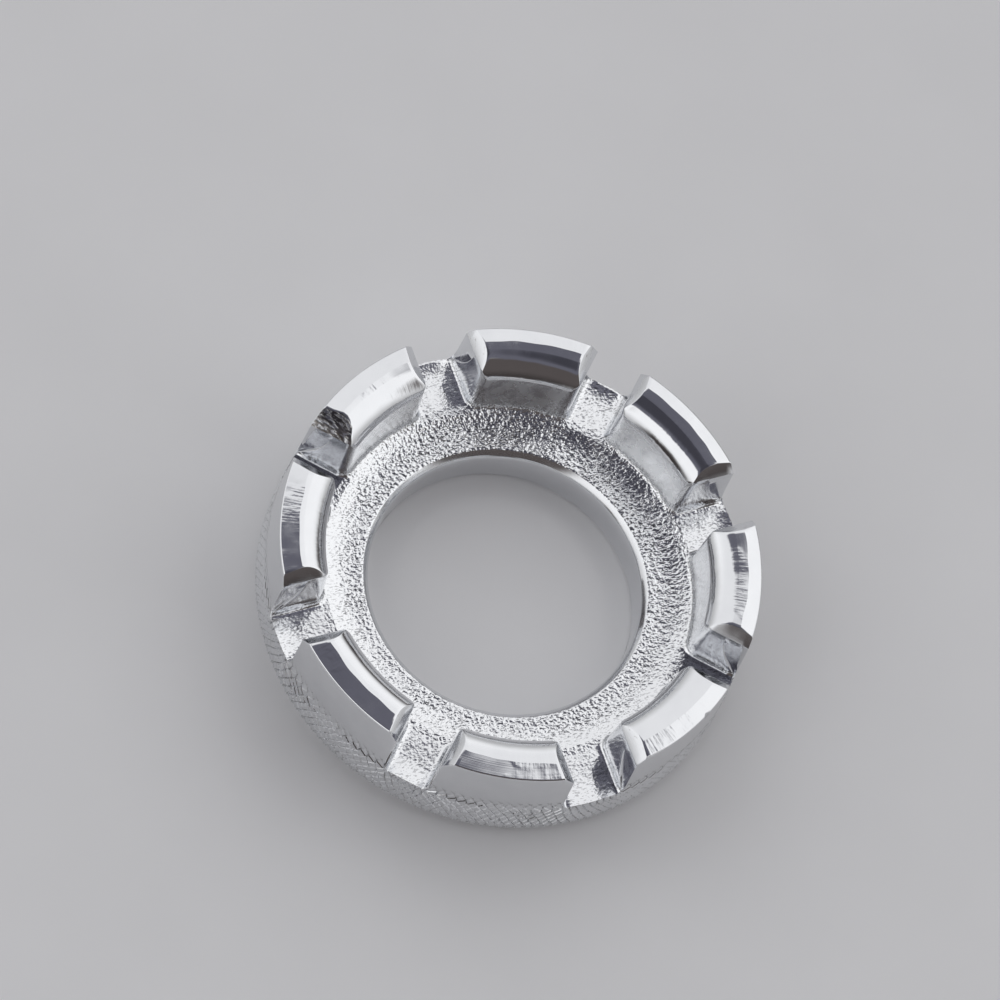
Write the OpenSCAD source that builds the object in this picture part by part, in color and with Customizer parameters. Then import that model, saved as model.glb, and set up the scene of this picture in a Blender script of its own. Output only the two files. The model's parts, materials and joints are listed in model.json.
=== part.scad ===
// Round spoke wrench: one solid chromed ring with a plain centre bore, a knurled rim and
// eight nipple slots of eight widths between the lugs on its upper face.
// Lies flat on z = 0 with the ring's axis along +Z; slot 1 points along +X.
// The rim's diameter is set here, and the section is built inwards from it to the bore.

/* [Ring] */
// Diameter over the knurled rim
ring_d = 45; // [40:0.5:52]
// Height from the bottom face to the ridge of the lugs
ring_h = 11.9; // [10.5:0.1:14]
// Height of the web, whose upper face is the floor of the slots
web_h = 5.1; // [4:0.1:7]
// How far the outer wall leans in between the rim and the lug tops
wall_lean = 0.45; // [0:0.05:0.8]
// Chamfer round the bottom edge of the rim
base_chamfer = 1.3; // [0.4:0.1:2]

/* [Lugs] */
// Radial width of the lugs at their crowns
lug_w = 4.45; // [3.8:0.05:5.5]
// Width of the band outside the ridge
band_w = 1.7; // [0.8:0.1:2]
// Fall of that band from the ridge to the outer edge
band_fall = 0.18; // [0.05:0.01:0.4]
// Height of the rounded crown from its sharp inner edge to the ridge
crown_h = 1.7; // [1.3:0.1:2.4]
// How far the inner side of a lug leans inwards from crown to foot
skirt_lean = 0.3; // [0:0.1:0.5]
// How far the slot sides of a lug lean into the slot from mouth to foot
flank_lean = 0.2; // [0:0.05:0.4]
// Height and width of the sloped foot along the inner side of a lug
foot_h = 0.5; // [0.45:0.05:0.7]
// Height and width of the sloped foot along the slot sides of a lug
slot_foot_h = 0.3; // [0.1:0.05:0.4]

/* [Web and bore] */
// Radial width of the level web between the feet of the lugs and the dish
floor_w = 1.5; // [0.5:0.1:3]
// Radial width of the dished lip between the level web and the bore wall
dish_w = 2.7; // [1.5:0.1:4]
// Depth of the dish at the bore
dish_depth = 0.5; // [0.1:0.1:1]
// Chamfer at the upper edge of the bore
bore_top_chamfer = 0.6; // [0.2:0.1:1]
// Chamfer at the lower edge of the bore
bore_bottom_chamfer = 0.3; // [0.1:0.1:1]

/* [Slots] */
// Width of slot 1
slot_1_w = 4.8; // [3.2:0.1:6.4]
// Width of slot 2
slot_2_w = 4.4; // [3.2:0.1:6.4]
// Width of slot 3
slot_3_w = 5.4; // [3.2:0.1:6.4]
// Width of slot 4
slot_4_w = 3.6; // [3.2:0.1:6.4]
// Width of slot 5
slot_5_w = 5.2; // [3.2:0.1:6.4]
// Width of slot 6
slot_6_w = 4.5; // [3.2:0.1:6.4]
// Width of slot 7
slot_7_w = 6; // [3.2:0.1:6.4]
// Width of slot 8
slot_8_w = 4.1; // [3.2:0.1:6.4]
// Depth of the flared slot mouths below the ridge
mouth_h = 1; // [0.5:0.1:1.2]
// How far a mouth widens over that depth, each side
mouth_flare = 1; // [0.4:0.1:1.6]
// Diameter of the disc cut that squares the outer end of the slot walls
cut_d = 16; // [12:0.5:24]
// Reach of that cut into the lugs at the foot of the mouth
cut_reach = 2.2; // [1:0.1:3]

/* [Hidden] */
$fn = 96;
// Radii of the section, from the rim inwards
rim_r = ring_d / 2;
top_r = rim_r - wall_lean;
ridge_r = top_r - band_w;
edge_r = top_r - lug_w;
skirt_r = edge_r - skirt_lean;
foot_r = skirt_r - foot_h;
dish_r = foot_r - floor_w;
bore_r = dish_r - dish_w;
// Heights of the section
band_z = ring_h - band_fall;
edge_z = ring_h - crown_h;
lip_z = web_h - dish_depth;
mouth_z = ring_h - mouth_h;
// The crown is an arc that is level at the ridge and ends at the sharp inner edge.
crown_run = ridge_r - edge_r;
crown_r = (crown_run * crown_run + crown_h * crown_h) / (2 * crown_h);
slot_w = [slot_1_w, slot_2_w, slot_3_w, slot_4_w, slot_5_w, slot_6_w, slot_7_w, slot_8_w];
slot_step = 360 / len(slot_w);
// The disc cut passes through the rim at floor level and through its reach at mouth level.
cut_dr = rim_r - (top_r - cut_reach);
cut_dz = mouth_z - web_h;
cut_chord = sqrt(cut_dr * cut_dr + cut_dz * cut_dz);
cut_rise = sqrt(cut_d * cut_d - cut_chord * cut_chord) / 2;
cut_x = rim_r - cut_dr / 2 + cut_rise * cut_dz / cut_chord;
cut_z = web_h + cut_dz / 2 + cut_rise * cut_dr / cut_chord;
// Overrun of a cut past the face that it opens
over = 1;

// Half section of the ring through a lug
module lug_section() {
    difference() {
        polygon([
            [bore_r, bore_bottom_chamfer],
            [bore_r + bore_bottom_chamfer, 0],
            [rim_r - base_chamfer, 0],
            [rim_r, base_chamfer],
            [top_r, band_z],
            [ridge_r, ring_h],
            [edge_r, ring_h],
            [edge_r, edge_z],
            [skirt_r, web_h + foot_h],
            [foot_r, web_h],
            [dish_r, web_h],
            [bore_r + bore_top_chamfer, lip_z],
            [bore_r, lip_z - bore_top_chamfer]
        ]);
        difference() {
            translate([edge_r - over, edge_z])
                square([crown_run + over, crown_h + over]);
            translate([ridge_r, ring_h - crown_r])
                circle(r = crown_r);
        }
    }
}

// One slot along +X: sloped feet, leaning flanks, flared mouth and the square disc cut
module slot(w) {
    half = w / 2;
    flank = half - flank_lean;
    wide = half + mouth_flare * (mouth_h + over) / mouth_h;
    translate([foot_r - 2 * over, 0, 0])
        rotate([90, 0, 90])
            linear_extrude(height = rim_r - foot_r + 3 * over)
                polygon([
                    [slot_foot_h - flank, web_h],
                    [flank - slot_foot_h, web_h],
                    [flank, web_h + slot_foot_h],
                    [half, mouth_z],
                    [wide, ring_h + over],
                    [-wide, ring_h + over],
                    [-half, mouth_z],
                    [-flank, web_h + slot_foot_h]
                ]);
    translate([cut_x, 0, cut_z])
        rotate([90, 0, 0])
            cylinder(d = cut_d, h = w, center = true);
}

// The whole wrench is one piece
module wrench_body() {
    color("Silver")
        difference() {
            rotate_extrude()
                lug_section();
            for (i = [0 : len(slot_w) - 1])
                rotate([0, 0, i * slot_step])
                    slot(slot_w[i]);
        }
}

wrench_body();
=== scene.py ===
"""Round spoke wrench in bright chrome, lying on a pale floor with its eight slots upwards."""

import json
import math

import bmesh
import bpy
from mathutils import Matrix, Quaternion, Vector, noise


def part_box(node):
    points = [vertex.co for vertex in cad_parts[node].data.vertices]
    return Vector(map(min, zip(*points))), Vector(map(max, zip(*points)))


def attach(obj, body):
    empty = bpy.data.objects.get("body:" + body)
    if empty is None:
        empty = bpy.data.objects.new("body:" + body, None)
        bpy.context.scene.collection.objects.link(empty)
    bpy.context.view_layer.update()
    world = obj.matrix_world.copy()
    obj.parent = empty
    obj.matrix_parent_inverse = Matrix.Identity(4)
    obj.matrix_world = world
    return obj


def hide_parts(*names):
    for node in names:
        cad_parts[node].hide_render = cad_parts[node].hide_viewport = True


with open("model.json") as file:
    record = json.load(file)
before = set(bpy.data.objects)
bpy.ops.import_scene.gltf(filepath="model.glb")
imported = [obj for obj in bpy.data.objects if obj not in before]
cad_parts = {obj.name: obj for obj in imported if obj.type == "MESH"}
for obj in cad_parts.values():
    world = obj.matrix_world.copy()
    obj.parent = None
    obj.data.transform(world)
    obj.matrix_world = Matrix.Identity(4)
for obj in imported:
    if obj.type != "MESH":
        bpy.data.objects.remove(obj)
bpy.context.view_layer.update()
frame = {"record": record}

MM = 0.001
TURN = 2 * math.pi

# Sizes of the wrench in millimetres: the rim, the height and the bore are the frame's own.
body_low, body_high = (Vector(corner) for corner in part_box("wrench_body"))
mounts = {mount["name"]: mount for mount in frame["record"]["mounts"]}
RIM_R = (body_high.x - body_low.x) / 2 / MM
RING_H = (body_high.z - body_low.z) / MM
BORE_R = mounts["centre_bore"]["dims"]["r_mm"]
WEB_H = 5.1
WALL_LEAN = 0.45
BASE_CHAMFER = 1.3
LUG_W = 4.45
BAND_W = 1.7
BAND_FALL = 0.18
CROWN_H = 1.7
SKIRT_LEAN = 0.3
FLANK_LEAN = 0.2
DISH_DEPTH = 0.5
BORE_TOP_CHAMFER = 0.6
BORE_BOTTOM_CHAMFER = 0.3
SLOT_WIDTHS = (4.8, 4.4, 5.4, 3.6, 5.2, 4.5, 6.0, 4.1)
MOUTH_H = 1.0
MOUTH_FLARE = 1.0
CUT_R = 8.0
CUT_REACH = 2.2

# One mouth is torn out wider: its slot and side, its flare, and how much and how often that varies
TORN_SIDE = (3, -1)
TORN_FLARE = 2.0
TORN_SWING = 0.5
TORN_RIPPLES_PER_MM = 2.3

# Radii and heights of the section that follow from those sizes
TOP_R = RIM_R - WALL_LEAN
RIDGE_R = TOP_R - BAND_W
EDGE_R = TOP_R - LUG_W
SKIRT_R = EDGE_R - SKIRT_LEAN
BAND_Z = RING_H - BAND_FALL
EDGE_Z = RING_H - CROWN_H
MOUTH_Z = RING_H - MOUTH_H
LIP_Z = WEB_H - DISH_DEPTH
CROWN_RUN = RIDGE_R - EDGE_R
CROWN_R = (CROWN_RUN**2 + CROWN_H**2) / (2 * CROWN_H)

# The disc that squares the slot walls: it passes through the rim at the web and its reach at the mouth.
CUT_RUN = RIM_R - (TOP_R - CUT_REACH)
CUT_RISE = MOUTH_Z - WEB_H
CUT_CHORD = math.hypot(CUT_RUN, CUT_RISE)
CUT_SAG = math.sqrt(CUT_R**2 - CUT_CHORD**2 / 4)
CUT_X = RIM_R - CUT_RUN / 2 + CUT_SAG * CUT_RISE / CUT_CHORD
CUT_Z = WEB_H + CUT_RISE / 2 + CUT_SAG * CUT_RUN / CUT_CHORD
CUT_STEP = 0.03
CUT_RUN_IN = 1.3

# The web is a shallow bowl: the power by which it rises to the feet of the lugs, and its steps
BOWL_POWER = 3.0
WEB_STEPS = 9

# Columns run round the ring, two to a pitch of the knurl, and rows run across the lug tops.
SLOTS = len(SLOT_WIDTHS)
COLUMNS = 336
SECTOR = COLUMNS // SLOTS
HALF_SECTOR = SECTOR // 2
CUT_ROW = 12
RIDGE_ROW = CUT_ROW + 2
LAST_ROW = RIDGE_ROW + 2
CROWN_EASE = 1.4

# The ridge of the lugs runs a little off its circle and wavers, and the band is flatter on one side.
RIDGE_WOBBLE = 0.12
RIDGE_WOBBLES_PER_COLUMN = 0.17
RIDGE_SHIFT = 0.17
RIDGE_SWING = 0.25
RIDGE_SWING_ANGLE = math.radians(10)
RIDGE_SLOPE = 0.13
FLAT_BAND_RISE = 0.158
FLAT_BAND_ANGLE = math.radians(247)

# Knurl: heights of its rows on the wall, the row level with the web, and its grooves
KNURL_STEP = 0.633
KNURL_ROWS = 11
KNURL_FOOT = 0.7
WEB_KNURL_ROW = 7
GROOVE_HALF_W = 0.1
GROOVE_DEPTH = 0.17
GROOVE_MEAN = 0.8
GROOVE_UNEVEN = 0.25
KNURL_FADE_Z = 4.9
KNURL_FADE_SWING = 0.7
KNURL_FADE_ANGLE = math.radians(250)
KNURL_FADE_H = 1.9
KNURL_SHORT_FADE_H = 0.7

# Levels at which the sides of the lugs are drawn: above the web up their feet, then up to the mouths
FOOT_LEVELS = (0.05, 0.2, 0.5)
FLANK_LEVELS = (7.8, 8.6, 9.4, 10.0)

# Points closer than this many millimetres count as one.
NEAR = 0.002

# Rounding, in millimetres
EDGE_ROUND = 0.07
OUTER_EDGE_ROUND = 0.15
FOOT_ROUND = 0.5
FLANK_FOOT_ROUND = 0.4
CORNER_ROUND = 0.8
BASE_ROUND = 0.35
BORE_BOTTOM_ROUND = 0.1
BORE_TOP_ROUND = 0.25
LIP_ROUND = 0.12
SHARP = math.radians(35)
SMOOTH = math.radians(40)

# Lips at the outer ends of the slot floors, and a nick in the outer edge of one lug
TAB_LIP_W = 2.0
TAB_LIP_H = 0.14
NICK_COLUMN = 280
NICK_DEPTH = 0.2

# How squarely a face looks one way before it takes the finish of that side, as a cosine
LOOKS_INWARDS = -0.5
LOOKS_OUTWARDS = 0.6
LOOKS_DOWN = -0.9
LOOKS_UP = 0.05
LOOKS_ACROSS = 0.35

# Colours of the chrome and of what darkens it, linear; the colour in the pits of the cast skin is painted
# shade
CHROME = (0.86, 0.87, 0.885, 1)
CHROME_DULL = (0.76, 0.77, 0.79, 1)
MILLED_DARK = (0.30, 0.28, 0.26, 1)
# Tint that darkens the knurl's grooves, by how deep each is sunk
GROOVE_DARK = (0.20, 0.19, 0.18, 1)
# Painted shade: the tint that darkens the pits of the cast skin
PIT_SHADE = (0.16, 0.16, 0.17, 1)

# Cast skin: the radius where its pits and their painted shade thin out, the turn of its crinkles, and its
# coarser side
WEB_GRAIN_R = 15.2
CRINKLE_TURN = math.radians(35)
COARSE_ANGLE = math.radians(55)
COARSE_RISE = 1.45

# Milled finishes, and the share of each that is torn
MILLED = {"wall_chrome": 0.0, "mouth_chrome": 0.2, "torn_chrome": 0.95}

# Floor and light tent: linear colours, and how the tent dims towards the horizon
FLOOR_GREY = (0.80, 0.80, 0.81, 1)
FLOOR_PALE = (0.86, 0.86, 0.87, 1)
FLOOR_SIZE = 4.0
FLOOR_ROUGHNESS = 0.7
TENT_WHITE = (1.07, 1.07, 1.08, 1)
OVERHEAD_GREY = (0.135, 0.134, 0.165, 1)
OVERHEAD_SLATE = (0.057, 0.056, 0.070, 1)
SIDE_DIM = (0.10, 0.087, 0.085, 1)
TENT_PALE = (0.90, 0.90, 0.915, 1)
TENT_HORIZON = 0.5
TENT_FULL_ELEVATION = math.radians(30)

# Dim patches of the light tent: azimuth, elevation, half angle and softness in degrees
OVERHEAD_PATCH = (190, 83.5, 29, 2)
OVERHEAD_MIDDLE = (190, 83.5, 18, 5)
SIDE_PATCH = (265, 33, 38, 8)
FAR_PATCH = (20, -20, 32, 8)
NEAR_PATCH = (190, 2, 14, 6)
PALE_PATCH = (95, 48, 34, 14)

# Camera of the photograph
SENSOR = 36.0
LENS = 199.24
CLIP_START = 0.01
CAMERA_AIM = Vector((2.07, 7.60, WEB_H)) * MM
CAMERA_DISTANCE = 0.50295
CAMERA_AZIMUTH = math.radians(225.01)
CAMERA_ELEVATION = math.radians(62.93)
CAMERA_ROLL = math.radians(27.37)


def metres(x, y, z):
    """A point given in millimetres."""
    return Vector((x, y, z)) * MM


def rounded(distance, rounding):
    """How far a rounded corner stands away from one side at a distance from the other."""
    short = max(0, rounding - max(0, distance))
    return rounding - math.sqrt(rounding**2 - short**2)


def wall_r(z):
    """Radius of the outer wall at a height."""
    if z < BASE_CHAMFER:
        return RIM_R - (BASE_CHAMFER - z)
    return RIM_R - WALL_LEAN * (z - BASE_CHAMFER) / (BAND_Z - BASE_CHAMFER)


def skirt_r(z):
    """Radius of the inner side of a lug at a height."""
    foot_z = WEB_H + FOOT_ROUND
    straight = SKIRT_R + (EDGE_R - SKIRT_R) * (z - foot_z) / (EDGE_Z - foot_z)
    return straight - rounded(z - WEB_H, FOOT_ROUND)


def cut_r(z):
    """Radius where the disc cut meets a slot wall at a height."""
    return CUT_X - math.sqrt(CUT_R**2 - (z - CUT_Z) ** 2)


def crown_point(row):
    """Radius and height of a row on the top of a lug."""
    if row == LAST_ROW:
        return TOP_R, BAND_Z
    if row > RIDGE_ROW:
        return (RIDGE_R + TOP_R) / 2, (RING_H + BAND_Z) / 2
    if row == RIDGE_ROW:
        return RIDGE_R, RING_H - NEAR
    slope_edge = math.asin(CROWN_RUN / CROWN_R)
    slope_cut = math.asin((RIDGE_R - TOP_R + CUT_REACH) / CROWN_R)
    slope = slope_edge + (slope_cut - slope_edge) * (min(row, CUT_ROW) / CUT_ROW) ** CROWN_EASE
    radius = RIDGE_R - CROWN_R * math.sin(slope)
    if row > CUT_ROW:
        radius += CUT_STEP
    return radius, RING_H - CROWN_R + math.sqrt(CROWN_R**2 - (RIDGE_R - radius) ** 2)


def floor_r(row):
    """Radius of a row at the floor of the slots, closer together towards both ends."""
    ease = (1 - math.cos(math.pi * row / LAST_ROW)) / 2
    inner = skirt_r(WEB_H)
    return inner + (wall_r(WEB_H) - inner) * ease


def knurl_z(row):
    """Height of a row of the knurl on the wall."""
    if row == 0:
        return KNURL_FOOT
    return WEB_H + (row - WEB_KNURL_ROW) * KNURL_STEP


def slot_of(column):
    """Nearest slot to a column, and how many columns it lies past the middle of that slot."""
    slot = ((column + HALF_SECTOR) // SECTOR) % SLOTS
    past = (column + HALF_SECTOR) % SECTOR - HALF_SECTOR
    return slot, past


def wall_columns(slot):
    """Columns between the middle of a slot and its wall."""
    middle_r = (EDGE_R + RIM_R) / 2
    return round(math.asin(SLOT_WIDTHS[slot] / 2 / middle_r) / TURN * COLUMNS)


def mouth_flare(slot, side, radius):
    """How far the mouth of a slot widens on one side; one side is torn out wider and uneven."""
    if (slot, side) == TORN_SIDE:
        return TORN_FLARE + TORN_SWING * noise.noise(Vector((TORN_RIPPLES_PER_MM * radius, 0, 0)))
    return MOUTH_FLARE


def half_width(slot, side, row, radius, z):
    """Distance from the middle of a slot to its wall on one side."""
    half = SLOT_WIDTHS[slot] / 2 + rounded(radius - skirt_r(z), CORNER_ROUND)
    if z > MOUTH_Z:
        return half + mouth_flare(slot, side, radius) * (z - MOUTH_Z) / MOUTH_H
    lean = FLANK_LEAN * (MOUTH_Z - z) / (MOUTH_Z - WEB_H)
    if row > CUT_ROW:
        lean *= max(0, 1 - (z - WEB_H) / CUT_RUN_IN)
    return half - lean - rounded(z - WEB_H, FLANK_FOOT_ROUND)


def at_column(row, column, radius, z):
    """Point of a row on a column, with the columns drawn to the slot walls."""
    slot, past = slot_of(column)
    walls = wall_columns(slot)
    side = -1 if past < 0 else 1
    wall_angle = math.asin(half_width(slot, side, row, radius, z) / radius)
    if abs(past) <= walls:
        angle = wall_angle * past / walls
    else:
        share = (abs(past) - walls) / (HALF_SECTOR - walls)
        angle = math.copysign(wall_angle + (TURN / SLOTS / 2 - wall_angle) * share, past)
    angle += TURN * slot / SLOTS
    return metres(radius * math.cos(angle), radius * math.sin(angle), z)


def floor_point(row, column):
    """Point on the floor of the slots, whose outer end rises to a lip."""
    radius = floor_r(row)
    slot, past = slot_of(column)
    walls = wall_columns(slot)
    z = WEB_H
    if abs(past) <= walls:
        rise = max(0, 1 - (wall_r(WEB_H) - radius) / TAB_LIP_W)
        z += TAB_LIP_H * rise**2 * (1 - (past / walls) ** 4)
    if row == LAST_ROW:
        radius = wall_r(z)
    return at_column(row, column, radius, z)


def ridge_shift(column):
    """How far out of its circle the ridge of the lugs runs, which is a little off centre."""
    return RIDGE_SHIFT + RIDGE_SWING * math.cos(TURN * column / COLUMNS - RIDGE_SWING_ANGLE)


def band_rise(column):
    """How much higher the outer edge of the band stands round the side where the band is flatter."""
    nearness = max(0, math.cos(TURN * column / COLUMNS - FLAT_BAND_ANGLE))
    return FLAT_BAND_RISE * nearness**4


def lug_point(row, column, level):
    """Point of a lug at a level, which the rounded crown cuts off."""
    if row == LAST_ROW and level < knurl_z(WEB_KNURL_ROW + 1) - NEAR:
        return floor_point(row, column)
    top_r, top_z = crown_point(row)
    if level >= top_z - EDGE_ROUND:
        if row < RIDGE_ROW:
            top_z -= RIDGE_SLOPE * max(0, ridge_shift(column)) * (top_r - EDGE_R) / CROWN_RUN
        else:
            wobble = RIDGE_WOBBLE * noise.noise(Vector((RIDGE_WOBBLES_PER_COLUMN * column, 0, 0)))
            top_r += (ridge_shift(column) + wobble) * (LAST_ROW - row) / 2
            top_z += band_rise(column) * (row - RIDGE_ROW) / 2
        if row == LAST_ROW and column == NICK_COLUMN:
            top_r -= NICK_DEPTH
        return at_column(row, column, top_r, top_z)
    cut = min(cut_r(level), wall_r(level) - 4 * CUT_STEP)
    if row <= CUT_ROW:
        share = (crown_point(row)[0] - EDGE_R) / (crown_point(CUT_ROW)[0] - EDGE_R)
        radius = skirt_r(level) + (cut - skirt_r(level)) * share
    else:
        share = (row - CUT_ROW - 1) / (LAST_ROW - CUT_ROW - 1)
        radius = cut + CUT_STEP + (wall_r(level) - cut - CUT_STEP) * share
    return at_column(row, column, radius, level)


def web_r(step):
    """Radius of a step across the web, from the lip of the bore to the feet of the lugs."""
    lip_r = BORE_R + BORE_TOP_CHAMFER
    return lip_r + (floor_r(0) - lip_r) * step / WEB_STEPS


def web_z(radius):
    """Height of the web, a shallow bowl that steepens towards the feet of the lugs."""
    lip_r = BORE_R + BORE_TOP_CHAMFER
    share = (radius - lip_r) / (floor_r(0) - lip_r)
    return LIP_Z + (WEB_H - LIP_Z) * share**BOWL_POWER


def section_points():
    """Half section below the lugs, from the inner row of the floor round the rim, the base and the bore."""
    floor = [(floor_r(row), WEB_H) for row in range(LAST_ROW + 1)]
    wall = [(wall_r(knurl_z(row)), knurl_z(row)) for row in reversed(range(WEB_KNURL_ROW))]
    base = [
        (RIM_R - BASE_CHAMFER, 0),
        ((RIM_R + BORE_R) / 2, 0),
        (BORE_R + BORE_BOTTOM_CHAMFER, 0),
        (BORE_R, BORE_BOTTOM_CHAMFER),
        (BORE_R, (LIP_Z - BORE_TOP_CHAMFER) / 2),
        (BORE_R, LIP_Z - BORE_TOP_CHAMFER),
    ]
    web = [(web_r(step), web_z(web_r(step))) for step in range(WEB_STEPS)]
    return floor + wall + base + web


def edit(piece):
    """Edit mode on one piece with nothing selected; gives its mesh."""
    bpy.context.view_layer.objects.active = piece
    bpy.ops.object.mode_set(mode="EDIT")
    bpy.ops.mesh.select_all(action="DESELECT")
    return bmesh.from_edit_mesh(piece.data)


def pick(piece, elements, mode):
    """Selects these vertices, edges or faces and nothing else."""
    bpy.ops.mesh.select_all(action="DESELECT")
    bpy.ops.mesh.select_mode(type=mode)
    mesh = bmesh.from_edit_mesh(piece.data)
    for element in elements(mesh):
        element.select = True
    mesh.select_flush_mode()
    bmesh.update_edit_mesh(piece.data)


def round_section(piece):
    """Rounds the corners of the half section before it is spun."""
    corners = {
        (RIM_R - BASE_CHAMFER, 0): BASE_ROUND,
        (BORE_R + BORE_BOTTOM_CHAMFER, 0): BORE_BOTTOM_ROUND,
        (BORE_R, BORE_BOTTOM_CHAMFER): BORE_BOTTOM_ROUND,
        (BORE_R, LIP_Z - BORE_TOP_CHAMFER): BORE_TOP_ROUND,
        (BORE_R + BORE_TOP_CHAMFER, LIP_Z): LIP_ROUND,
    }
    for (radius, z), rounding in corners.items():
        place = metres(radius, 0, z)
        pick(piece, lambda mesh: [v for v in mesh.verts if (v.co - place).length < NEAR * MM], "VERT")
        bpy.ops.mesh.bevel(affect="VERTICES", offset=rounding * MM, segments=4)


def spin_ring():
    """The ring below the lugs: its half section drawn point by point and spun round the axis."""
    points = [metres(radius, 0, z) for radius, z in section_points()]
    bpy.ops.object.select_all(action="DESELECT")
    bpy.ops.mesh.primitive_plane_add(size=MM)
    piece = bpy.context.object
    piece.name = "chromed_wrench"
    bpy.ops.object.mode_set(mode="EDIT")
    bpy.ops.mesh.select_all(action="SELECT")
    bpy.ops.mesh.merge(type="CENTER")
    bpy.ops.transform.translate(value=points[0])
    for start, end in zip(points, points[1:]):
        bpy.ops.mesh.extrude_vertices_move(TRANSFORM_OT_translate={"value": end - start})
    pick(piece, lambda mesh: [v for v in mesh.verts if len(v.link_edges) == 1], "VERT")
    bpy.ops.mesh.edge_face_add()
    round_section(piece)
    bpy.ops.mesh.select_all(action="SELECT")
    bpy.ops.mesh.spin(steps=COLUMNS, angle=TURN, center=(0, 0, 0), axis=(0, 0, 1))
    bpy.ops.mesh.select_all(action="SELECT")
    bpy.ops.mesh.remove_doubles(threshold=NEAR * MM)
    bpy.ops.mesh.normals_make_consistent(inside=False)
    return piece


def number_ring(piece):
    """Writes on each vertex its row of the floor, its column and its row of the knurl, or -1."""
    mesh = bmesh.from_edit_mesh(piece.data)
    for name in ("row", "column", "knurl"):
        mesh.verts.layers.int.new(name)
    mesh.verts.layers.float.new("groove")
    row_of, column_of, knurl_of = (mesh.verts.layers.int[name] for name in ("row", "column", "knurl"))
    floor = [floor_r(row) for row in range(LAST_ROW + 1)]
    knurl = [knurl_z(row) for row in range(WEB_KNURL_ROW)]
    for vertex in mesh.verts:
        x, y, z = vertex.co / MM
        radius = math.hypot(x, y)
        vertex[column_of] = round(math.atan2(y, x) / TURN * COLUMNS) % COLUMNS
        vertex[row_of] = -1
        vertex[knurl_of] = -1
        if abs(z - WEB_H) < NEAR:
            for row, floor_radius in enumerate(floor):
                if abs(radius - floor_radius) < NEAR:
                    vertex[row_of] = row
        for row, height in enumerate(knurl):
            if abs(z - height) < NEAR and abs(radius - wall_r(height)) < NEAR:
                vertex[knurl_of] = row
                drawn = at_column(LAST_ROW, vertex[column_of], radius, WEB_H)
                drawn.z = vertex.co.z
                vertex.co = vertex.co.lerp(drawn, (row / WEB_KNURL_ROW) ** 2)
        if vertex[row_of] == LAST_ROW:
            vertex[knurl_of] = WEB_KNURL_ROW
        if vertex[row_of] >= 0:
            vertex.co = floor_point(vertex[row_of], vertex[column_of])
    bmesh.update_edit_mesh(piece.data)


def on_lug(column):
    """Whether a column lies on a lug or on its sides."""
    slot, past = slot_of(column)
    return abs(past) >= wall_columns(slot)


def lug_floors(mesh):
    """Faces of the floor that the lugs stand on."""
    row_of = mesh.verts.layers.int["row"]
    column_of = mesh.verts.layers.int["column"]
    return [
        face
        for face in mesh.faces
        if all(v[row_of] >= 0 and on_lug(v[column_of]) for v in face.verts)
    ]


def raise_lugs(piece):
    """Extrudes the lugs from the floor, level by level, and shapes their crowns."""
    pick(piece, lug_floors, "FACE")
    knurled = {WEB_H + height: WEB_KNURL_ROW for height in FOOT_LEVELS}
    knurled.update({knurl_z(row): row for row in range(WEB_KNURL_ROW + 1, KNURL_ROWS)})
    for level in (*knurled, *FLANK_LEVELS, MOUTH_Z, RING_H):
        bpy.ops.mesh.extrude_region_move(TRANSFORM_OT_translate={"value": (0, 0, MM)})
        mesh = bmesh.from_edit_mesh(piece.data)
        row_of, column_of, knurl_of = (mesh.verts.layers.int[name] for name in ("row", "column", "knurl"))
        for vertex in mesh.verts:
            if vertex.select:
                vertex.co = lug_point(vertex[row_of], vertex[column_of], level)
                vertex[knurl_of] = knurled.get(level, -1) if vertex[row_of] == LAST_ROW else -1
        bmesh.update_edit_mesh(piece.data)
    bpy.ops.mesh.select_all(action="SELECT")
    bpy.ops.mesh.remove_doubles(threshold=NEAR * MM)
    bpy.ops.mesh.normals_make_consistent(inside=False)


def knurl_faces(mesh):
    """Faces of the wall that lie in the knurl."""
    knurl_of = mesh.verts.layers.int["knurl"]
    return [face for face in mesh.faces if all(v[knurl_of] >= 0 for v in face.verts)]


def is_crossing(mesh, vertex):
    """Whether two grooves of the knurl cross at a vertex."""
    return (vertex[mesh.verts.layers.int["knurl"]] + vertex[mesh.verts.layers.int["column"]]) % 2 == 0


def knurl_crossings(mesh):
    """Vertices of the knurl where its grooves cross."""
    found = {vertex for face in knurl_faces(mesh) for vertex in face.verts}
    return [vertex for vertex in found if is_crossing(mesh, vertex)]


def knurl_middles(mesh):
    """Vertices in the middle of the knurl's diamonds."""
    faces = set(knurl_faces(mesh))
    found = {vertex for face in faces for vertex in face.verts}
    return [v for v in found if not is_crossing(mesh, v) and all(f in faces for f in v.link_faces)]


def knurl_stubs(mesh):
    """Edges that still halve the diamonds along the border of the knurl."""
    faces = set(knurl_faces(mesh))
    inner = [e for e in mesh.edges if len(e.link_faces) == 2 and all(f in faces for f in e.link_faces)]
    return [e for e in inner if is_crossing(mesh, e.verts[0]) != is_crossing(mesh, e.verts[1])]


def knurl_grooves(mesh):
    """Edges along which the grooves of the knurl run."""
    faces = set(knurl_faces(mesh))
    return [e for e in mesh.edges if len(e.link_faces) == 2 and all(f in faces for f in e.link_faces)]


def groove_depth(vertex, fade_h):
    """Share of a groove's full depth, which is uneven and fades at a height that varies round the rim."""
    angle = math.atan2(vertex.co.y, vertex.co.x)
    fade_z = KNURL_FADE_Z + KNURL_FADE_SWING * math.cos(angle - KNURL_FADE_ANGLE)
    fade = 1 - (vertex.co.z / MM - fade_z) / fade_h
    return max(0, min(1, fade)) * (GROOVE_MEAN + GROOVE_UNEVEN * noise.noise(vertex.co / MM))


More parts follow.
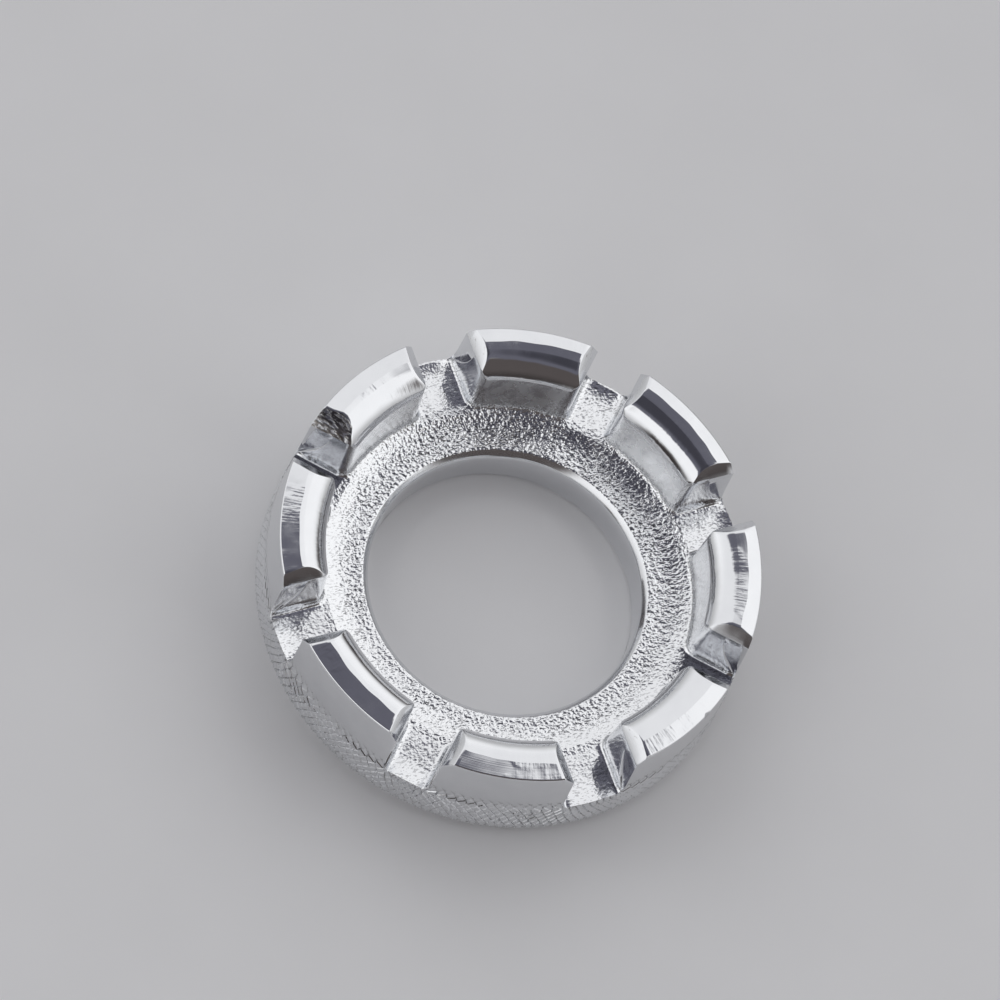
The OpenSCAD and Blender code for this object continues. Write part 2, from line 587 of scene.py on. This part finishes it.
def mark_grooves(piece):
    """Halves the edges of the grooves and writes how deep each vertex lies; one set runs higher."""
    mesh = bmesh.from_edit_mesh(piece.data)
    knurl_of, column_of = (mesh.verts.layers.int[name] for name in ("knurl", "column"))
    depth_of = mesh.verts.layers.float["groove"]
    for vertex in knurl_crossings(mesh):
        if 0 < vertex[knurl_of] < KNURL_ROWS - 1:
            vertex[depth_of] = groove_depth(vertex, KNURL_FADE_H)
    halves = bmesh.ops.bisect_edges(mesh, edges=knurl_grooves(mesh), cuts=1)["geom_split"]
    for vertex in halves:
        if isinstance(vertex, bmesh.types.BMVert):
            ends = [edge.other_vert(vertex) for edge in vertex.link_edges]
            lower, upper = sorted(ends, key=lambda end: end[knurl_of])
            short = (upper[column_of] - lower[column_of]) % COLUMNS == 1
            vertex[knurl_of] = lower[knurl_of]
            vertex[depth_of] = groove_depth(vertex, KNURL_SHORT_FADE_H if short else KNURL_FADE_H)
    bmesh.update_edit_mesh(piece.data)


def knurl_rim(piece):
    """Cuts the crossed grooves of the knurl into the wall."""
    pick(piece, knurl_crossings, "VERT")
    bpy.ops.mesh.vert_connect()
    pick(piece, knurl_middles, "VERT")
    bpy.ops.mesh.dissolve_verts()
    pick(piece, knurl_stubs, "EDGE")
    bpy.ops.mesh.dissolve_edges(use_verts=False)
    mark_grooves(piece)
    pick(piece, knurl_faces, "FACE")
    bpy.ops.mesh.inset(thickness=GROOVE_HALF_W * MM, use_individual=True)
    group = piece.vertex_groups.new(name="groove")
    mesh = bmesh.from_edit_mesh(piece.data)
    depth_of = mesh.verts.layers.float["groove"]
    weights = mesh.verts.layers.deform.verify()
    for vertex in mesh.verts:
        if vertex.select:
            vertex[depth_of] = 0
        if vertex[depth_of]:
            vertex[weights][group.index] = vertex[depth_of]
    bmesh.update_edit_mesh(piece.data)
    bpy.ops.object.mode_set(mode="OBJECT")
    sink = piece.modifiers.new("sink grooves", "DISPLACE")
    sink.vertex_group = "groove"
    sink.mid_level = 0
    sink.strength = -GROOVE_DEPTH * MM
    bpy.ops.object.modifier_apply(modifier=sink.name)
    edit(piece)


def is_top_line(mesh, edge, row):
    """Whether an edge runs along a row on the top of a lug."""
    row_of = mesh.verts.layers.int["row"]
    return all(v[row_of] == row and v.co.z / MM > MOUTH_Z + NEAR for v in edge.verts)


def is_lug_edge(edge):
    """Whether an edge is a sharp outer edge of a lug above the knurl."""
    if len(edge.link_faces) != 2 or not edge.is_convex or edge.calc_face_angle() < SHARP:
        return False
    low = min(v.co.z for v in edge.verts) / MM
    outer = max(v.co.xy.length for v in edge.verts) / MM
    clear_z = knurl_z(KNURL_ROWS - 1) if outer > wall_r(RING_H) - NEAR else WEB_H + FOOT_ROUND
    return low > clear_z - NEAR


def round_edges(piece):
    """Breaks the sharp edges of the lugs and keeps the line of the ridge crisp."""
    pick(piece, lambda mesh: [edge for edge in mesh.edges if is_top_line(mesh, edge, RIDGE_ROW)], "EDGE")
    bpy.ops.mesh.mark_sharp()
    pick(piece, lambda mesh: [edge for edge in mesh.edges if is_top_line(mesh, edge, LAST_ROW)], "EDGE")
    bpy.ops.mesh.bevel(offset=OUTER_EDGE_ROUND * MM, segments=3, affect="EDGES", clamp_overlap=True)
    bpy.ops.mesh.region_to_loop()
    bpy.ops.mesh.mark_sharp()
    pick(piece, lambda mesh: [edge for edge in mesh.edges if is_lug_edge(edge)], "EDGE")
    bpy.ops.mesh.bevel(offset=EDGE_ROUND * MM, segments=2, affect="EDGES", clamp_overlap=True)
    bpy.ops.mesh.select_all(action="SELECT")
    bpy.ops.mesh.remove_doubles(threshold=NEAR * MM)
    bpy.ops.mesh.normals_make_consistent(inside=False)


def add_node(tree, kind, inputs=None, **settings):
    """Adds a shader node, with its settings, its values and the links into it."""
    made = tree.nodes.new("ShaderNode" + kind)
    for name, value in settings.items():
        setattr(made, name, value)
    for socket, value in (inputs or {}).items():
        if isinstance(value, bpy.types.NodeSocket):
            tree.links.new(value, made.inputs[socket])
        else:
            made.inputs[socket].default_value = value
    return made


def ring_coordinates(tree):
    """Distance from the axis, arc length round it and height, as one vector that follows the ring."""
    x, y, z = add_node(tree, "SeparateXYZ", {0: add_node(tree, "TexCoord").outputs["Object"]}).outputs
    flat = add_node(tree, "CombineXYZ", {"X": x, "Y": y})
    radius = add_node(tree, "VectorMath", {0: flat.outputs[0]}, operation="LENGTH").outputs["Value"]
    angle = add_node(tree, "Math", {0: y, 1: x}, operation="ARCTAN2").outputs[0]
    arc = add_node(tree, "Math", {0: angle, 1: RIDGE_R * MM}, operation="MULTIPLY").outputs[0]
    return add_node(tree, "CombineXYZ", {"X": radius, "Y": arc, "Z": z}).outputs[0]


def grain(tree, vector, scales, detail=2.0, turn=(0, 0, 0)):
    """Noise from 0 to 1 with its own number of grains per metre along each axis."""
    stretched = add_node(tree, "Mapping", {"Vector": vector, "Rotation": turn, "Scale": scales})
    made = add_node(tree, "TexNoise", {"Vector": stretched.outputs[0], "Scale": 1.0, "Detail": detail})
    return made.outputs["Fac"]


def between(tree, value, low, high, to_low=0.0, to_high=1.0):
    """A value brought from one range smoothly into another."""
    inputs = {"Value": value, "From Min": low, "From Max": high, "To Min": to_low, "To Max": to_high}
    return add_node(tree, "MapRange", inputs, interpolation_type="SMOOTHSTEP").outputs["Result"]


def times(tree, first, second):
    """Product of two values."""
    return add_node(tree, "Math", {0: first, 1: second}, operation="MULTIPLY").outputs[0]


def reach(tree, vector, direction):
    """How far a vector reaches along a direction."""
    return add_node(tree, "VectorMath", {0: vector, 1: direction}, operation="DOT_PRODUCT").outputs["Value"]


def relief(tree, height, strength):
    """A height from 0 to 1 turned into a rise and fall about level, as strong as asked."""
    swing = add_node(tree, "Math", {0: height, 1: 0.5}, operation="SUBTRACT").outputs[0]
    return times(tree, swing, strength)


def chrome(name):
    """A chrome material, its node tree and its shader."""
    material = bpy.data.materials.new(name)
    material.use_nodes = True
    tree = material.node_tree
    shader = tree.nodes["Principled BSDF"]
    shader.inputs["Metallic"].default_value = 1
    return material, tree, shader


def finish_chrome(tree, shader, tint, roughness, reliefs):
    """Links a colour, a roughness and layers of relief, each with its depth in metres, to the shader."""
    tree.links.new(tint, shader.inputs["Base Color"])
    tree.links.new(roughness, shader.inputs["Roughness"])
    normal = None
    for height, depth in reliefs:
        inputs = {"Height": height, "Distance": depth}
        if normal:
            inputs["Normal"] = normal
        normal = add_node(tree, "Bump", inputs).outputs["Normal"]
    tree.links.new(normal, shader.inputs["Normal"])


def tint_between(tree, value, dark, light):
    """A colour between two tints."""
    return add_node(tree, "Mix", {"Factor": value, 6: dark, 7: light}, data_type="RGBA").outputs[2]


def bright_chrome():
    """Polished plate on the lugs: a little wavy, with turning lines round the ring and chatter."""
    material, tree, shader = chrome("bright_chrome")
    place = add_node(tree, "TexCoord").outputs["Object"]
    ring = ring_coordinates(tree)
    smudge = grain(tree, place, (420, 420, 420), detail=4)
    waves = grain(tree, place, (360, 360, 360), detail=1)
    patches = between(tree, grain(tree, place, (300, 300, 300)), 0.45, 0.6)
    chatter = times(tree, grain(tree, ring, (350, 3600, 350), detail=1), patches)
    dents = times(tree, grain(tree, place, (1900, 1900, 1900), detail=2), patches)
    turning = grain(tree, ring, (9000, 90, 9000), detail=2)
    finish_chrome(
        tree, shader,
        tint_between(tree, smudge, CHROME_DULL, CHROME),
        between(tree, smudge, 0.3, 0.75, 0.03, 0.12),
        [(waves, 24e-6), (chatter, 8e-6), (dents, 6e-6), (turning, 1.6e-6)],
    )
    return material


def satin_chrome():
    """Plate on the inner sides of the lugs: smooth but dull, so that it blurs what it mirrors."""
    material, tree, shader = chrome("satin_chrome")
    place = add_node(tree, "TexCoord").outputs["Object"]
    smudge = grain(tree, place, (700, 700, 700), detail=3)
    dents = grain(tree, place, (1500, 1500, 1500), detail=1)
    finish_chrome(
        tree, shader,
        tint_between(tree, smudge, CHROME_DULL, CHROME),
        between(tree, smudge, 0.3, 0.7, 0.2, 0.32),
        [(smudge, 14e-6), (dents, 12e-6)],
    )
    return material


def cast_chrome():
    """Plate over the cast skin of the web and the slots: bright, with a fine crinkled grain and painted
    shade in its pits.
    """
    material, tree, shader = chrome("cast_chrome")
    place = add_node(tree, "TexCoord").outputs["Object"]
    pebbles = grain(tree, place, (3100, 3100, 3100), detail=0.9)
    crinkles = grain(tree, place, (2900, 7200, 4400), detail=1.4, turn=(0, 0, CRINKLE_TURN))
    hollows = grain(tree, place, (520, 520, 520), detail=2)
    patches = between(tree, grain(tree, place, (260, 260, 260), detail=3), 0.35, 0.65, 0.6, 1.0)
    radius = add_node(tree, "SeparateXYZ", {0: ring_coordinates(tree)}).outputs["X"]
    web = between(tree, radius, WEB_GRAIN_R * MM, floor_r(0) * MM, 1.0, 0.4)
    tabs = between(tree, radius, floor_r(0) * MM, RIDGE_R * MM, 0.0, 0.3)
    along = reach(tree, place, compass(COARSE_ANGLE, 0))
    coarse = times(tree, patches, between(tree, along, 0.0, WEB_GRAIN_R * MM, 1.0, COARSE_RISE))
    roughened = times(tree, coarse, between(tree, radius, SKIRT_R * MM, EDGE_R * MM, 1.0, 0.15))
    # Painted shade: the base colour darkens in the pits of the crinkles, over the web and the tabs
    pit_shade_spread = times(tree, patches, add_node(tree, "Math", {0: web, 1: tabs}).outputs[0])
    pit_shade = times(tree, between(tree, crinkles, 0.46, 0.33), pit_shade_spread)
    finish_chrome(
        tree, shader,
        tint_between(tree, pit_shade, CHROME, PIT_SHADE),
        between(tree, pebbles, 0.3, 0.7, 0.11, 0.05),
        [
            (hollows, 16e-6),
            (relief(tree, pebbles, roughened), 112e-6),
            (relief(tree, crinkles, roughened), 40e-6),
        ],
    )
    return material


def milled_chrome(name, torn):
    """Plate over milled metal that keeps the cutter's marks; the share that is torn goes from 0 to 1."""
    material, tree, shader = chrome(name)
    place = add_node(tree, "TexCoord").outputs["Object"]
    ring = ring_coordinates(tree)
    marks = grain(tree, ring, (500, 500, 5200), detail=2)
    rips = grain(tree, ring, (1400, 4600, 4600), detail=3)
    tears = between(tree, rips, 0.7 - 0.35 * torn, 0.9 - 0.35 * torn)
    smudge = grain(tree, place, (600, 600, 600), detail=1)
    finish_chrome(
        tree, shader,
        tint_between(tree, tears, CHROME_DULL, MILLED_DARK),
        between(tree, smudge, 0.3, 0.7, 0.08, 0.2),
        [(smudge, 8e-6), (marks, 5e-6), (tears, 16e-6 * torn)],
    )
    return material


def rim_chrome():
    """Plate on the wall and the knurl: smooth, with faint polishing lines, and darker in the grooves by
    their depth.
    """
    material, tree, shader = chrome("rim_chrome")
    place = add_node(tree, "TexCoord").outputs["Object"]
    ring = ring_coordinates(tree)
    groove = add_node(tree, "Attribute", attribute_name="groove").outputs["Fac"]
    lines = grain(tree, ring, (200, 150, 7000), detail=2)
    smudge = grain(tree, place, (500, 500, 500), detail=4)
    specks = grain(tree, place, (5200, 5200, 5200), detail=2)
    # Darker in the grooves of the knurl, as deep as each groove, broken up by specks
    groove_darkening = times(tree, groove, between(tree, specks, 0.3, 0.6, 0.5, 1.0))
    plate = tint_between(tree, smudge, CHROME_DULL, CHROME)
    finish_chrome(
        tree, shader,
        tint_between(tree, groove_darkening, plate, GROOVE_DARK),
        between(tree, smudge, 0.3, 0.75, 0.05, 0.16),
        [(smudge, 10e-6), (lines, 1.6e-6), (specks, 3e-6)],
    )
    return material


def turned_chrome():
    """Plate on the bore and the underside, with fine turning lines round the axis."""
    material, tree, shader = chrome("turned_chrome")
    place = add_node(tree, "TexCoord").outputs["Object"]
    ring = ring_coordinates(tree)
    lines = grain(tree, ring, (6500, 60, 6500), detail=3)
    smudge = grain(tree, place, (300, 300, 300), detail=4)
    finish_chrome(
        tree, shader,
        tint_between(tree, smudge, CHROME_DULL, CHROME),
        between(tree, smudge, 0.3, 0.75, 0.08, 0.2),
        [(smudge, 12e-6), (lines, 5e-6)],
    )
    return material


def finish_of(centre, normal):
    """Finish of a face, by its place in millimetres and the way it looks."""
    radius = centre.xy.length
    outward = (normal.x * centre.x + normal.y * centre.y) / radius
    in_bore = radius < BORE_R + BORE_TOP_CHAMFER and outward < LOOKS_INWARDS
    if in_bore or normal.z < LOOKS_DOWN:
        return "turned_chrome"
    if outward > LOOKS_OUTWARDS and radius > TOP_R - NEAR:
        return "rim_chrome"
    if centre.z < WEB_H + FOOT_ROUND and (normal.z > LOOKS_UP or radius < SKIRT_R):
        return "cast_chrome"
    across = (normal.x * centre.y - normal.y * centre.x) / radius
    if abs(across) < LOOKS_ACROSS:
        return "satin_chrome" if outward < 0 and centre.z < EDGE_Z - EDGE_ROUND else "bright_chrome"
    if centre.z < MOUTH_Z:
        return "wall_chrome"
    slot = round(math.atan2(centre.y, centre.x) / TURN * SLOTS) % SLOTS
    side = 1 if across > 0 else -1
    return "torn_chrome" if (slot, side) == TORN_SIDE else "mouth_chrome"


def chrome_finishes(piece):
    """Gives each face of the wrench its finish."""
    finishes = [bright_chrome(), satin_chrome(), cast_chrome(), rim_chrome(), turned_chrome()]
    finishes += [milled_chrome(name, torn) for name, torn in MILLED.items()]
    numbers = {}
    for number, material in enumerate(finishes):
        piece.data.materials.append(material)
        numbers[material.name] = number
    for face in piece.data.polygons:
        face.material_index = numbers[finish_of(face.center / MM, face.normal)]


def compass(azimuth, elevation):
    """Unit vector towards an azimuth and an elevation."""
    level = math.cos(elevation)
    return Vector((level * math.cos(azimuth), level * math.sin(azimuth), math.sin(elevation)))


def tent_patch(tree, direction, patch):
    """How far a direction lies inside a round patch of the tent, from 0 to 1."""
    azimuth, elevation, half_angle, soft = (math.radians(angle) for angle in patch)
    towards = reach(tree, direction, compass(azimuth, elevation))
    return between(tree, towards, math.cos(half_angle + soft), math.cos(half_angle - soft))


def light_tent():
    """Soft light from all round that dims to the horizon, with dark patches overhead and at its foot."""
    world = bpy.data.worlds.new("light_tent")
    world.use_nodes = True
    bpy.context.scene.world = world
    tree = world.node_tree
    direction = add_node(tree, "TexCoord").outputs["Generated"]
    colour = tint_between(tree, tent_patch(tree, direction, PALE_PATCH), TENT_WHITE, TENT_PALE)
    for patch in (SIDE_PATCH, FAR_PATCH, NEAR_PATCH):
        colour = tint_between(tree, tent_patch(tree, direction, patch), colour, SIDE_DIM)
    colour = tint_between(tree, tent_patch(tree, direction, OVERHEAD_PATCH), colour, OVERHEAD_GREY)
    colour = tint_between(tree, tent_patch(tree, direction, OVERHEAD_MIDDLE), colour, OVERHEAD_SLATE)
    height = add_node(tree, "SeparateXYZ", {0: direction}).outputs["Z"]
    level = between(tree, height, 0.0, math.sin(TENT_FULL_ELEVATION), TENT_HORIZON, 1.0)
    background = tree.nodes["Background"]
    tree.links.new(colour, background.inputs["Color"])
    tree.links.new(level, background.inputs["Strength"])


def pale_floor():
    """The plain floor that the wrench lies on."""
    bpy.ops.object.select_all(action="DESELECT")
    bpy.ops.mesh.primitive_plane_add(size=FLOOR_SIZE)
    floor = bpy.context.object
    floor.name = "floor"
    material = bpy.data.materials.new("pale_floor")
    material.use_nodes = True
    tree = material.node_tree
    shader = tree.nodes["Principled BSDF"]
    mottle = grain(tree, add_node(tree, "TexCoord").outputs["Object"], (60, 60, 60), detail=6)
    tree.links.new(tint_between(tree, mottle, FLOOR_GREY, FLOOR_PALE), shader.inputs["Base Color"])
    shader.inputs["Roughness"].default_value = FLOOR_ROUGHNESS
    floor.data.materials.append(material)


def photo_camera():
    """Camera at the photograph's angle: it looks past the web, turned a little about its own axis."""
    data = bpy.data.cameras.new("camera")
    data.lens = LENS
    data.sensor_width = SENSOR
    data.clip_start = CLIP_START
    camera = bpy.data.objects.new("camera", data)
    bpy.context.collection.objects.link(camera)
    towards = compass(CAMERA_AZIMUTH, CAMERA_ELEVATION)
    camera.location = CAMERA_AIM + towards * CAMERA_DISTANCE
    level = (-towards).to_track_quat("-Z", "Y")
    camera.rotation_mode = "QUATERNION"
    camera.rotation_quaternion = level @ Quaternion((0, 0, 1), CAMERA_ROLL)
    bpy.context.scene.camera = camera


def chromed_wrench():
    """The whole wrench, which is one piece of metal."""
    piece = spin_ring()
    number_ring(piece)
    raise_lugs(piece)
    knurl_rim(piece)
    round_edges(piece)
    bpy.ops.object.mode_set(mode="OBJECT")
    chrome_finishes(piece)
    bpy.ops.object.shade_smooth_by_angle(angle=SMOOTH)
    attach(piece, "root")
    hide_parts("wrench_body")


bpy.context.scene.view_settings.view_transform = "Standard"
photo_camera()
light_tent()
pale_floor()
chromed_wrench()
